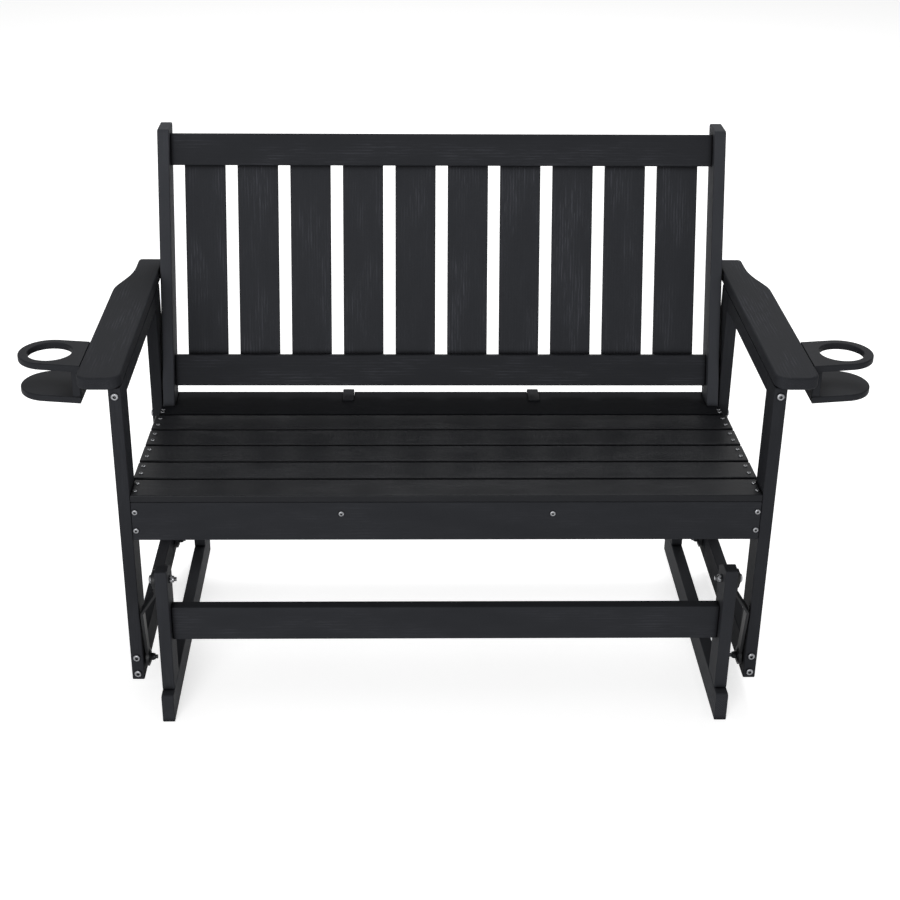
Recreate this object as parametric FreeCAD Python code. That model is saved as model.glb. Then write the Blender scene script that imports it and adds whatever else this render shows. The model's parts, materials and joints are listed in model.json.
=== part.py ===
import FreeCAD, Part
import math
import os
from FreeCAD import Placement, Rotation, Vector

os.makedirs("parts", exist_ok=True)

# Sizes in millimetres. X is to the right, +Y is to the back, Z is up.
# Depths are counted from the plane of the front legs' front faces. The finished bench is then moved, so that
# its origin is on the floor, midway between its sides and midway between its foremost and rearmost points.

# Boards
board = 22.0
slat_thickness = 13.0
edge_round = 2.0
slat_round = 2.0

# Seat
seat_length = 1090.0
seat_height = 426.0
seat_slope = 0.055
seat_slat_width = 67.0
seat_slat_gap = 8.0
seat_slat_count = 5
slat_overhang = 5.0
end_screw_inset = 6.5
rear_board_width = 118.0
apron_height = 75.0
stringer_height = 60.0
middle_stringer_x = 183.0
stringer_tongue_depth = 52.0
stringer_tongue_rise = 3.0
notch_clearance = 0.6

# Legs, side rails and arms
leg_depth = 60.0
leg_bottom = 48.0
rear_leg_front = 432.0
lower_rail_height = 60.0
arm_top = 650.0
arm_rail_height = 31.0
arm_width = 74.0
arm_rear_width = 48.5
arm_front_overhang = 10.0
arm_rear_end = 571.0
arm_step_start = 415.0
arm_step_end = 495.0
arm_step_bend = 15.0
arm_hollow_bend = 34.0
arm_front_corner = 24.0
arm_rear_corner = 8.0
arm_round = 4.0

# Back
post_gap = 3.0
post_depth = 60.0
post_front_at_seat = 423.3
post_lean = 0.3104
post_top = 907.0
post_top_round = 7.0
top_rail_drop = 5.639
back_rail_width = 60.0
back_rail_setback = 20.7
bottom_rail_start = 12.7
back_slat_width = 78.0
back_slat_count = 10
back_slat_end_inset = 6.0
post_notch_clearance = 1.0

# Cup holders
cup_hole_radius = 38.0
cup_ring_width = 16.0
cup_plate = 12.0
cup_reach = 61.0
cup_centre_y = 104.0
cup_slant = 8.5
cup_drop = 46.0
cup_web = 14.0
cup_web_step = 2.0
cup_round = 2.5

# Base
base_gap = 38.0
runner_height = 55.0
runner_overhang = 22.0
runner_end_round = 6.0
upright_depth = 60.0
upright_front = -42.0
upright_top = 297.0
upright_corner_run = 33.0
upright_corner_drop = 20.0
cross_rail_bottom = 148.0
cross_rail_height = 66.0
cross_rail_setback = 20.0

# Links
pivot_drop = 30.0
link_thickness = 5.0
link_waist = 20.0
link_eye_radius = 17.0
link_joggle_start = 30.0
link_joggle_end = 78.0
link_bend = 7.5
bearing_radius = 12.5
bearing_flange_radius = 15.0
bearing_flange = 1.0
bearing_width = 7.0
bearing_groove = 0.5
groove_start_share = 0.4
groove_end_share = 0.8
bolt_radius = 4.0
running_clearance = 0.05
side_clearance = 0.3
open_pivot_play = 4.4
washer_radius = 11.5
washer_thickness = 1.0
nut_radius = 7.5
nut_height = 8.0
bolt_tip = 4.5

# Screws: head radius, head height, shank radius
slat_screw = (3.8, 1.8, 2.0)
frame_screw = (5.0, 2.4, 2.5)
leg_screw = (6.5, 3.2, 3.0)
bolt_head = (8.0, 4.5, bolt_radius)
hole_clearance = 0.1
socket_share = 0.5
socket_depth_share = 0.8
head_round_share = 0.7
slat_screw_length = 26.0
frame_screw_length = 60.0
leg_screw_length = 95.0
arm_screw_length = 43.0
cup_screw_length = 36.0
back_screw_length = 30.0
foot_screw_length = 95.0
side_screw_length = 42.0
post_screw_length = 80.0
foot_screw_sink = 12.0
base_screw_sink = 4.0
screw_share = 0.27
frame_screw_share = 0.26
leg_screw_share = 0.22
middle_screw_share = 0.7
side_screw_shares = (0.3, 0.75)
arm_screw_shares = (0.12, 0.5, 0.88)
cup_screw_share = 0.8
cup_screw_gap = 0.6
spacer_radius = 8.0

# Derived places
seat_half = seat_length / 2
leg_outer = seat_half + board
leg_middle = seat_half + board / 2
post_outer = seat_half - post_gap
post_inner = post_outer - board
slope_angle = math.atan(seat_slope)
slat_drop = slat_thickness / math.cos(slope_angle)
apron_top = seat_height - slat_drop
apron_bottom = apron_top - apron_height
end_screw_x = seat_half - end_screw_inset
arm_bottom = arm_top - board
arm_outer = seat_half + arm_width
slat_pitch = seat_slat_width + seat_slat_gap
lean_angle = math.atan(post_lean)
top_rail_start = (post_top - seat_height) / math.cos(lean_angle) - back_rail_width - top_rail_drop
post_level_depth = post_depth / math.cos(lean_angle)
back_slat_gap = (2 * post_inner - back_slat_count * back_slat_width) / (back_slat_count + 1)
back_slat_pitch = back_slat_width + back_slat_gap
cup_angle = math.radians(cup_slant)
cup_web_middle = cup_centre_y - cup_reach * math.tan(cup_angle)
seat_rear = seat_slat_count * slat_pitch + rear_board_width
rear_apron_middle = rear_leg_front + board / 2
base_outer = seat_half - base_gap
base_inner = base_outer - board
upright_back = upright_front + upright_depth
lower_pivot_front = leg_depth / 2
lower_pivot_rear = rear_leg_front + leg_depth / 2
lower_pivot_z = leg_bottom + lower_rail_height / 2
upper_pivot_front = upright_front + upright_depth / 2
upper_pivot_z = upright_top - pivot_drop
seat_middle = (lower_pivot_front + lower_pivot_rear) / 2
upper_pivot_rear = 2 * seat_middle - upper_pivot_front
upper_bearing_x = base_outer + washer_thickness + side_clearance + bearing_width / 2
lower_bearing_x = seat_half - washer_thickness - side_clearance - bearing_width / 2
bolt_stack = board + 2 * washer_thickness + 2 * side_clearance + bearing_width
bolt_length = bolt_stack + nut_height + bolt_tip
far = 2000.0
up = Vector(0, 0, 1)


def seat_line(y):
    """Height of the seat frame's top, under the slats, at depth y."""
    return apron_top - seat_slope * y


def post_front(z):
    """Depth of the back posts' front face at height z."""
    return post_front_at_seat + post_lean * (z - seat_height)


def mirrored(y):
    """The place on the other side of the bench's middle, front to back."""
    return 2 * seat_middle - y


def block(x0, x1, y0, y1, z0, z1, radius=edge_round):
    """A board with rounded edges, from corner to corner."""
    solid = Part.makeBox(abs(x1 - x0), y1 - y0, z1 - z0, Vector(min(x0, x1), y0, z0))
    return rounded(solid, solid.Edges, radius)


def rounded(solid, edges, radius):
    """The solid with these edges rounded."""
    if radius <= 0:
        return solid
    return solid.makeFillet(radius, edges)


def side_profile(points, x0, x1, radius=edge_round, sharp=None):
    """A board cut to an outline in the side view, from x0 to x1; the corner named sharp isn't rounded."""
    corners = [Vector(min(x0, x1), y, z) for y, z in points]
    face = Part.Face(Part.makePolygon(corners + corners[:1]))
    solid = face.extrude(Vector(abs(x1 - x0), 0, 0))
    edges = solid.Edges
    if sharp is not None:
        corner = Vector((x0 + x1) / 2, *sharp)
        edges = [edge for edge in edges if edge.CenterOfMass.distanceToPoint(corner) > radius]
    return rounded(solid, edges, radius)


def rod(start, direction, radius, length):
    """A round bar."""
    return Part.makeCylinder(radius, length, start, direction)


def leaning(along, behind):
    """A point of the back in the side view, so far along the posts and so far behind their front."""
    y = post_front_at_seat + along * math.sin(lean_angle) + behind * math.cos(lean_angle)
    z = seat_height + along * math.cos(lean_angle) - behind * math.sin(lean_angle)
    return y, z


def leaning_block(x0, x1, along0, along1, behind0, behind1, radius=edge_round):
    """A board of the back, which leans with the posts."""
    ends = ((along0, behind0), (along1, behind0), (along1, behind1), (along0, behind1))
    return side_profile([leaning(*end) for end in ends], x0, x1, radius)


def fastener(kind, seat, out, length, sink=0.0):
    """One screw or bolt: where its head seats, which way its head faces, and how far its shank goes in."""
    out = Vector(*out)
    return {"kind": kind, "surface": Vector(*seat), "out": out, "length": length, "sink": sink}


def screw_solid(item):
    """A button head with a hexagon socket on a plain shank."""
    head_radius, head_height, shank_radius = item["kind"]
    head = Part.makeCylinder(head_radius, head_height)
    top_edge = [edge for edge in head.Edges if abs(edge.CenterOfMass.z - head_height) < 1e-6]
    head = head.makeFillet(head_height * head_round_share, [edge for edge in top_edge if edge.Closed])
    socket_radius = head_radius * socket_share
    corners = []
    for turn in range(6):
        angle = math.radians(60 * turn)
        x = socket_radius * math.cos(angle)
        corners.append(Vector(x, socket_radius * math.sin(angle), head_height * (1 - socket_depth_share)))
    socket = Part.Face(Part.makePolygon(corners + corners[:1])).extrude(up * head_height)
    shank = Part.makeCylinder(shank_radius, item["length"], Vector(0, 0, -item["length"]))
    solid = head.cut(socket).fuse(shank).removeSplitter()
    foot = item["surface"] - item["out"] * item["sink"]
    solid.Placement = Placement(foot, Rotation(up, item["out"]))
    return solid


def drilled(solid, fasteners):
    """The board with a hole for each fastener that reaches it."""
    cutters = []
    for item in fasteners:
        head_radius, _, shank_radius = item["kind"]
        depth = item["sink"] + item["length"] + hole_clearance
        cutter = rod(item["surface"], -item["out"], shank_radius + hole_clearance, depth)
        if item["sink"] > 0:
            mouth = rod(item["surface"], -item["out"], head_radius + hole_clearance, item["sink"])
            cutter = cutter.fuse(mouth)
        if cutter.BoundBox.intersect(solid.BoundBox):
            cutters.append(cutter)
    if not cutters:
        return solid
    return solid.cut(cutters)


def save(name, shape):
    """Keep one sub-part until the whole bench is made."""
    sub_parts[name] = shape


def save_group(name, solids):
    """Keep identical or like small pieces as one sub-part of separate solids."""
    save(name, Part.makeCompound(solids))


def write_all():
    """Write each sub-part, moved so that the origin is midway between the bench's front and back."""
    box = Part.makeCompound(list(sub_parts.values())).optimalBoundingBox(False)
    middle = (box.YMin + box.YMax) / 2
    for name, shape in sub_parts.items():
        moved = shape.copy()
        moved.translate(Vector(0, -middle, 0))
        moved.exportStep("parts/" + name + ".step")
    return middle


sides = (("left", -1), ("right", 1))
sub_parts = {}


# Fasteners of the seat and its frame

def apron_fasteners():
    """Two at each end of the front apron, into the side stringers, and one at each middle stringer."""
    items = []
    for side in (-1, 1):
        for share in (frame_screw_share, 1 - frame_screw_share):
            z = apron_bottom + apron_height * share
            seat = (side * end_screw_x, 0, z)
            items.append(fastener(frame_screw, seat, (0, -1, 0), frame_screw_length))
        seat = (side * middle_stringer_x, 0, apron_bottom + apron_height * middle_screw_share)
        items.append(fastener(frame_screw, seat, (0, -1, 0), frame_screw_length))
    return items


def leg_fasteners():
    """Legs to the lower rails, the arm rails, the side stringers and the back posts."""
    items = []
    rail_heights = (leg_bottom + lower_rail_height * leg_screw_share,
                    leg_bottom + lower_rail_height * (1 - leg_screw_share))
    arm_rail_middle = arm_bottom - arm_rail_height / 2
    for side in (-1, 1):
        x = side * leg_middle
        rear = rear_leg_front + leg_depth
        for z in rail_heights:
            items.append(fastener(leg_screw, (x, 0, z), (0, -1, 0), leg_screw_length))
            items.append(fastener(leg_screw, (x, rear, z), (0, 1, 0), leg_screw_length))
        items.append(fastener(leg_screw, (x, 0, arm_rail_middle), (0, -1, 0), leg_screw_length))
        items.append(fastener(leg_screw, (x, rear, arm_rail_middle), (0, 1, 0), leg_screw_length))
        z = apron_bottom + apron_height / 2
        for share in side_screw_shares:
            y = board + (leg_depth - board) * share
            items.append(fastener(leg_screw, (side * leg_outer, y, z), (side, 0, 0), side_screw_length))
        top = seat_line(rear_apron_middle)
        for share in (leg_screw_share, 1 - leg_screw_share):
            z = top - stringer_height * share
            seat = (side * leg_outer, rear_apron_middle, z)
            items.append(fastener(leg_screw, seat, (side, 0, 0), post_screw_length))
    return items


def arm_fasteners():
    """Up through the arm rails into the arms."""
    items = []
    rail_length = rear_leg_front - leg_depth
    for side in (-1, 1):
        for share in arm_screw_shares:
            y = leg_depth + rail_length * share
            seat = (side * leg_middle, y, arm_bottom - arm_rail_height)
            items.append(fastener(frame_screw, seat, (0, 0, -1), arm_screw_length))
    return items


def cup_fasteners():
    """Through the cup holders' webs into the arms' outer edges."""
    items = []
    for side in (-1, 1):
        for step in (-1, 1):
            y = cup_web_middle + step * cup_hole_radius * cup_screw_share
            x = arm_outer + cup_web_step + cup_web
            seat = (side * x, y, arm_top - cup_plate - slat_screw[0] - cup_screw_gap)
            items.append(fastener(slat_screw, seat, (side, 0, 0), cup_screw_length))
    return items


def seat_slat_fasteners():
    """Down through the slats into the stringers, square to the slats."""
    normal = (0, math.sin(slope_angle), math.cos(slope_angle))
    items = []
    for number in range(seat_slat_count + 1):
        start = number * slat_pitch
        width = seat_slat_width
        if number == seat_slat_count:
            width = post_front(seat_line(start)) - start - board / 2
        for share in (screw_share, 1 - screw_share):
            along = start + width * share
            for side in (-1, 1):
                seat = (side * end_screw_x, *on_seat(along))
                items.append(fastener(slat_screw, seat, normal, slat_screw_length))
    return items


def on_seat(along):
    """A point on the seat's upper face, in the side view, this far back along it."""
    return along * math.cos(slope_angle), seat_height - along * math.sin(slope_angle)


def back_rail_fasteners():
    """Through the posts into the ends of the two back rails."""
    items = []
    behind = back_rail_setback + board / 2
    for side in (-1, 1):
        for start in (bottom_rail_start, top_rail_start):
            for share in (frame_screw_share, 1 - frame_screw_share):
                seat = (side * post_outer, *leaning(start + back_rail_width * share, behind))
                items.append(fastener(frame_screw, seat, (side, 0, 0), frame_screw_length))
    return items


def back_slat_fasteners():
    """From behind, through the back slats into the two back rails."""
    normal = (0, math.cos(lean_angle), -math.sin(lean_angle))
    behind = back_rail_setback + board + slat_thickness
    items = []
    for number in range(back_slat_count):
        for start in (bottom_rail_start, top_rail_start):
            for share in (screw_share, 1 - screw_share):
                x = back_slat_x(number) + back_slat_width * (share - 0.5)
                seat = (x, *leaning(start + back_rail_width / 2, behind))
                items.append(fastener(slat_screw, seat, normal, back_screw_length))
    return items


def back_slat_x(number):
    """The middle of one back slat."""
    return (number - (back_slat_count - 1) / 2) * back_slat_pitch


def base_fasteners():
    """Runners to uprights from below, and uprights to cross rails."""
    items = []
    rail_middle = upright_front + cross_rail_setback + board / 2
    for side in (-1, 1):
        for share in (frame_screw_share, 1 - frame_screw_share):
            front = upright_front + upright_depth * share
            for y in (front, mirrored(front)):
                seat = (side * (base_outer - board / 2), y, 0)
                items.append(fastener(leg_screw, seat, (0, 0, -1), foot_screw_length, foot_screw_sink))
            z = cross_rail_bottom + cross_rail_height * share
            for y in (rail_middle, mirrored(rail_middle)):
                seat = (side * base_outer, y, z)
                items.append(fastener(frame_screw, seat, (side, 0, 0), frame_screw_length, base_screw_sink))
    return items


# Pivot hardware

def upper_bolt(side, y):
    """A bolt from outside, through the bearing and then the upright, with its nut inside."""
    x = base_inner + bolt_stack
    return fastener(bolt_head, (side * x, y, upper_pivot_z), (side, 0, 0), bolt_length)


def lower_bolt(side, y):
    """A bolt from the leg's outer face, through the leg and then the bearing, with its nut inside."""
    return fastener(bolt_head, (side * leg_outer, y, lower_pivot_z), (side, 0, 0), bolt_length)


def pivot_hardware(bolt, before_bearing):
    """The bolt with a washer on each side of its bearing, and its nut."""
    run = -bolt["out"]
    hole = rod(bolt["surface"], run, bolt_radius + hole_clearance, bolt["length"])
    first = bolt["surface"] + run * before_bearing
    second = first + run * (washer_thickness + 2 * side_clearance + bearing_width)
    pieces = [screw_solid(bolt)]
    for start in (first, second):
        pieces.append(rod(start, run, washer_radius, washer_thickness).cut(hole))
    nut_start = bolt["surface"] + run * bolt_stack
    corners = []
    for turn in range(6):
        angle = math.radians(60 * turn + 30)
        corners.append(nut_start + Vector(0, nut_radius * math.cos(angle), nut_radius * math.sin(angle)))
    nut = Part.Face(Part.makePolygon(corners + corners[:1])).extrude(run * nut_height)
    pieces.append(nut.cut(hole))
    return pieces


# Seat frame

def front_apron(fasteners):
    """The board under the seat's front edge, between the legs."""
    outline = [(0, apron_bottom), (board, apron_bottom), (board, seat_line(board)), (0, apron_top)]
    save("front_apron", drilled(side_profile(outline, -seat_half, seat_half), fasteners))


def stringer_outline(y0, y1):
    """The side view of a stringer between two depths, under the sloping seat."""
    return [(y0, seat_line(y0) - stringer_height), (y1, seat_line(y1) - stringer_height),
            (y1, seat_line(y1)), (y0, seat_line(y0))]


def side_stringers(fasteners):
    """From the apron to the back posts, inside the legs."""
    for name, side in sides:
        bottom = seat_line(rear_leg_front) - stringer_height
        rear_bottom = post_front(bottom)
        top = seat_line(post_front_at_seat)
        rear_top = post_front(top)
        outline = [(board, seat_line(board) - stringer_height), (rear_bottom, bottom),
                   (rear_top, seat_line(rear_top)), (board, seat_line(board))]
        solid = side_profile(outline, side * (seat_half - board), side * seat_half)
        save(name + "_side_stringer", drilled(solid, fasteners))


def middle_stringers(fasteners):
    """From the apron to the seat's rear edge, halved over the rear apron, with a raised tongue."""
    for name, side in sides:
        x0 = side * middle_stringer_x - board / 2
        x1 = x0 + board
        rear = seat_rear * math.cos(slope_angle)
        tongue_front = rear - stringer_tongue_depth
        tongue_top = seat_height - seat_slope * tongue_front + stringer_tongue_rise
        inner_corner = (tongue_front, seat_line(tongue_front))
        outline = stringer_outline(board, rear)[:2] + [
            (rear, tongue_top), (tongue_front, tongue_top), inner_corner, (board, seat_line(board))]
        solid = side_profile(outline, x0, x1, sharp=inner_corner)
        lap_top = seat_line(rear_apron_middle) - stringer_height / 2
        lap = Part.makeBox(board, board, stringer_height,
                           Vector(x0, rear_leg_front, lap_top - stringer_height))
        save(name + "_middle_stringer", drilled(solid.cut(lap), fasteners))


def rear_apron(fasteners):
    """Between the back posts, with a halving for each middle stringer."""
    outline = stringer_outline(rear_leg_front, rear_leg_front + board)
    solid = side_profile(outline, -post_inner, post_inner)
    lap_top = seat_line(rear_apron_middle) - stringer_height / 2
    for _, side in sides:
        corner = Vector(side * middle_stringer_x - board / 2, rear_leg_front, lap_top)
        solid = solid.cut(Part.makeBox(board, board, stringer_height, corner))
    save("rear_apron", drilled(solid, fasteners))


def tilted_with_seat(solid):
    """Tip a board that was made level, with its top at the seat's height, to the seat's slope."""
    solid.rotate(Vector(0, 0, seat_height), Vector(1, 0, 0), -math.degrees(slope_angle))
    return solid


def seat_slats(fasteners):
    """The slats, and the wide rear board notched round the posts and the stringers' tongues."""
    for number in range(seat_slat_count):
        start = number * slat_pitch
        clear_of_legs = leg_depth < start and start + seat_slat_width < rear_leg_front
        reach = seat_half + (slat_overhang if clear_of_legs else 0)
        solid = block(-reach, reach, start, start + seat_slat_width,
                      seat_height - slat_thickness, seat_height, slat_round)
        save("seat_slat_" + str(number + 1), drilled(tilted_with_seat(solid), fasteners))
    start = seat_slat_count * slat_pitch
    solid = block(-seat_half, seat_half, start, seat_rear,
                  seat_height - slat_thickness, seat_height, slat_round)
    solid = tilted_with_seat(solid)
    notch_front = post_front(seat_line(post_front_at_seat)) - post_notch_clearance
    notch_rear = post_front(seat_height) + post_level_depth + post_notch_clearance
    tongue_front = seat_rear * math.cos(slope_angle) - stringer_tongue_depth - notch_clearance
    notch_side = post_inner - post_notch_clearance
    for _, side in sides:
        x0 = min(side * notch_side, side * far)
        corner = Vector(x0, notch_front, 0)
        solid = solid.cut(Part.makeBox(far - notch_side, notch_rear - notch_front, far, corner))
        tongue_x = side * middle_stringer_x - board / 2 - notch_clearance
        notch = Part.makeBox(board + 2 * notch_clearance, far, far, Vector(tongue_x, tongue_front, 0))
        solid = solid.cut(notch)
    save("seat_rear_board", drilled(solid, fasteners))


def legs(fasteners):
    """The four legs, which stand beside the seat and carry the arms."""
    for name, side in sides:
        for place, front in (("front", 0.0), ("rear", rear_leg_front)):
            rear = front + leg_depth
            solid = block(side * seat_half, side * leg_outer, front, rear, leg_bottom, arm_bottom)
            save(name + "_" + place + "_leg", drilled(solid, fasteners))


def side_rails(fasteners):
    """The lower rails and the arm rails, between the front and rear legs."""
    for name, side in sides:
        x0 = side * seat_half
        x1 = side * leg_outer
        solid = block(x0, x1, leg_depth, rear_leg_front, leg_bottom, leg_bottom + lower_rail_height)
        save(name + "_lower_rail", drilled(solid, fasteners))
        solid = block(x0, x1, leg_depth, rear_leg_front, arm_bottom - arm_rail_height, arm_bottom)
        save(name + "_arm_rail", drilled(solid, fasteners))


def arm_outline():
    """The right arm from above: straight inside, with a step outside that narrows it towards the back."""
    front = -arm_front_overhang
    rear = arm_rear_end
    corner = arm_front_corner
    small = arm_rear_corner
    rear_outer = seat_half + arm_rear_width
    bend = corner * math.sqrt(0.5)
    small_bend = small * math.sqrt(0.5)
    step_first = Vector(arm_outer, arm_step_start, 0)
    step_last = Vector(rear_outer, arm_step_end, 0)
    slant = (step_last - step_first).normalize()

    def arc(first, through, last):
        return Part.Arc(Vector(*first, 0), Vector(*through, 0), Vector(*last, 0)).toShape()

    def line(first, last):
        return Part.makeLine(Vector(*first, 0), Vector(*last, 0))

    def curve(first, corner_point, last):
        bezier = Part.BezierCurve()
        bezier.setPoles([first, corner_point, last])
        return bezier.toShape()

    bend_first = step_first - Vector(0, arm_step_bend, 0)
    bend_last = step_first + slant * arm_step_bend
    hollow_first = step_last - slant * arm_hollow_bend
    hollow_last = step_last + Vector(0, arm_hollow_bend, 0)
    return Part.Wire([
        line((seat_half, rear), (seat_half, front + corner)),
        arc((seat_half, front + corner), (seat_half + corner - bend, front + corner - bend),
            (seat_half + corner, front)),
        line((seat_half + corner, front), (arm_outer - corner, front)),
        arc((arm_outer - corner, front), (arm_outer - corner + bend, front + corner - bend),
            (arm_outer, front + corner)),
        line((arm_outer, front + corner), (bend_first.x, bend_first.y)),
        curve(bend_first, step_first, bend_last),
        line((bend_last.x, bend_last.y), (hollow_first.x, hollow_first.y)),
        curve(hollow_first, step_last, hollow_last),
        line((rear_outer, hollow_last.y), (rear_outer, rear - small)),
        arc((rear_outer, rear - small), (rear_outer - small + small_bend, rear - small + small_bend),
            (rear_outer - small, rear)),
        line((rear_outer - small, rear), (seat_half, rear))])


def armrests(fasteners):
    """The two arms, on top of the legs and the arm rails."""
    for name, side in sides:
        face = Part.Face(arm_outline())
        solid = face.extrude(up * board)
        flat_edges = [edge for edge in solid.Edges if edge.BoundBox.ZLength < 1e-6]
        solid = rounded(solid, flat_edges, arm_round)
        solid.translate(Vector(0, 0, arm_bottom))
        if side < 0:
            solid = solid.mirror(Vector(0, 0, 0), Vector(1, 0, 0))
        save(name + "_armrest", drilled(solid, fasteners))


def cup_plate_outline(x0, centre, radius):
    """A plate from above: straight at the arm, half round outside, with sides that slant to the back."""
    out = Vector(math.cos(cup_angle), math.sin(cup_angle), 0)
    back = Vector(-math.sin(cup_angle), math.cos(cup_angle), 0)

    def at_arm(side_point):
        return side_point - out * ((side_point.x - x0) / out.x)

    front = centre - back * radius
    rear = centre + back * radius
    corners = (front, at_arm(front), at_arm(rear), rear)
    straight = [Part.makeLine(corners[n], corners[n + 1]) for n in range(3)]
    round_end = Part.Arc(rear, centre + out * radius, front).toShape()
    return Part.Face(Part.Wire(straight + [round_end]))


def cup_holders(fasteners):
    """A ring level with the arm's top, a web beside the arm and a tray below, moulded in one."""
    radius = cup_hole_radius + cup_ring_width
    centre_x = arm_outer + cup_reach
    web_inner = arm_outer + cup_web_step
    web_length = 2 * radius / math.cos(cup_angle) - 2 * cup_round - cup_web * math.tan(cup_angle)
    web_middle = cup_web_middle + (cup_web_step + cup_web / 2) * math.tan(cup_angle)
    ring_bottom = arm_top - cup_plate
    tray_bottom = ring_bottom - cup_drop - cup_plate
    ring_centre = Vector(centre_x, cup_centre_y, ring_bottom)
    tray_centre = Vector(centre_x, cup_centre_y, tray_bottom)
    for name, side in sides:
        ring = cup_plate_outline(arm_outer, ring_centre, radius).extrude(up * cup_plate)
        hole = rod(ring_centre, up, cup_hole_radius, cup_plate)
        ring = ring.cut(hole)
        ring = rounded(ring, [edge for edge in ring.Edges if edge.BoundBox.ZLength < 1e-6
                              and edge.BoundBox.XMax > arm_outer + 1], cup_round)
        tray = cup_plate_outline(web_inner, tray_centre, radius).extrude(up * cup_plate)
        tray = rounded(tray, [edge for edge in tray.Edges if edge.BoundBox.ZLength < 1e-6], cup_round)
        web_start = Vector(web_inner, web_middle - web_length / 2, tray_bottom + cup_plate / 2)
        web = Part.makeBox(cup_web, web_length, cup_drop + cup_plate, web_start)
        web = rounded(web, [edge for edge in web.Edges if edge.BoundBox.ZLength > cup_drop], cup_round)
        solid = ring.fuse([tray, web]).removeSplitter()
        if side < 0:
            solid = solid.mirror(Vector(0, 0, 0), Vector(1, 0, 0))
        save(name + "_cup_holder", drilled(solid, fasteners))


# Back

def back_posts(fasteners):
    """The two leaning posts, cut level at the top and the bottom."""
    bottom = seat_line(rear_leg_front) - stringer_height
    outline = [(post_front(bottom), bottom), (post_front(bottom) + post_level_depth, bottom),
               (post_front(post_top) + post_level_depth, post_top), (post_front(post_top), post_top)]
    for name, side in sides:
        solid = side_profile(outline, side * post_inner, side * post_outer, 0)
        corners = [edge for edge in solid.Edges if edge.BoundBox.XLength > board / 2
                   and edge.CenterOfMass.z > post_top - 1]
        solid = rounded(solid, corners, post_top_round)
        solid = rounded(solid, solid.Edges, edge_round)
        save(name + "_back_post", drilled(solid, fasteners))


def back_rails(fasteners):
    """The top and bottom rails between the posts."""
    for name, start in (("back_bottom_rail", bottom_rail_start), ("back_top_rail", top_rail_start)):
        solid = leaning_block(-post_inner, post_inner, start, start + back_rail_width,
                              back_rail_setback, back_rail_setback + board)
        save(name, drilled(solid, fasteners))


def back_slats(fasteners):
    """The upright slats, on the rear faces of the two rails."""
    behind = back_rail_setback + board
    low = bottom_rail_start + back_slat_end_inset
    high = top_rail_start + back_rail_width - back_slat_end_inset
    for number in range(back_slat_count):
        middle = back_slat_x(number)
        solid = leaning_block(middle - back_slat_width / 2, middle + back_slat_width / 2, low, high,
                              behind, behind + slat_thickness)
        save("back_slat_" + str(number + 1), drilled(solid, fasteners))


# Base

def runners(fasteners):
    """The two runners on the floor."""
    front = upright_front - runner_overhang
    for name, side in sides:
        solid = block(side * base_inner, side * base_outer, front, mirrored(front), 0, runner_height, 0)
        ends = [edge for edge in solid.Edges if edge.BoundBox.XLength > board / 2
                and edge.CenterOfMass.z > runner_height / 2]
        solid = rounded(solid, ends, runner_end_round)
        solid = rounded(solid, solid.Edges, edge_round)
        save(name + "_runner", drilled(solid, fasteners))


def uprights(fasteners):
    """The four uprights on the runners, each with its top corner cut off on the seat's side."""
    cut = upright_top - upright_corner_drop
    outline = [(upright_front, runner_height), (upright_back, runner_height), (upright_back, cut),
               (upright_back - upright_corner_run, upright_top), (upright_front, upright_top)]
    for name, side in sides:
        for place, points in (("front", outline), ("rear", [(mirrored(y), z) for y, z in outline])):
            solid = side_profile(points, side * base_inner, side * base_outer)
            save(name + "_" + place + "_upright", drilled(solid, fasteners))


def cross_rails(fasteners):
    """The two rails between the left and right uprights."""
    front = upright_front + cross_rail_setback
    top = cross_rail_bottom + cross_rail_height
    solid = block(-base_inner, base_inner, front, front + board, cross_rail_bottom, top)
    save("front_cross_rail", drilled(solid, fasteners))
    solid = block(-base_inner, base_inner, mirrored(front + board), mirrored(front), cross_rail_bottom, top)
    save("rear_cross_rail", drilled(solid, fasteners))


# Links

def link_frame(upper_y, lower_y):
    """The link's length, and how far it is turned from straight down about its upper pivot, in degrees."""
    run = lower_y - upper_y
    fall = upper_pivot_z - lower_pivot_z
    return math.hypot(run, fall), math.degrees(math.atan2(run, fall))


def link_arm(length):
    """A flat steel arm with an eye at each end, joggled outwards; it hangs straight down from the origin."""
    half = link_thickness / 2
    step = lower_bearing_x - upper_bearing_x
    reach = length + 2 * link_eye_radius
    corners = [(-half, link_eye_radius), (half, link_eye_radius), (half, -link_joggle_start),
               (half + step, -link_joggle_end), (half + step, -reach), (step - half, -reach),
               (step - half, -link_joggle_end), (-half, -link_joggle_start)]
    points = [Vector(x, -link_eye_radius, z) for x, z in corners]
    strip = Part.Face(Part.makePolygon(points + points[:1])).extrude(Vector(0, 2 * link_eye_radius, 0))
    bends = [edge for edge in strip.Edges if edge.BoundBox.YLength > link_eye_radius
             and -reach + 1 < edge.CenterOfMass.z < link_eye_radius - 1]
    strip = rounded(strip, bends, link_bend)
    start = Vector(-far, 0, 0)
    along = Vector(1, 0, 0)
    outline = Part.makeBox(2 * far, link_waist, length, Vector(-far, -link_waist / 2, -length))
    outline = outline.fuse([rod(start, along, link_eye_radius, 2 * far),
                            rod(start + Vector(0, 0, -length), along, link_eye_radius, 2 * far)])
    arm = strip.common(outline)
    for drop in (0, -length):
        arm = arm.cut(rod(start + Vector(0, 0, drop), along, bearing_radius + hole_clearance, 2 * far))
    return arm


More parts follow.
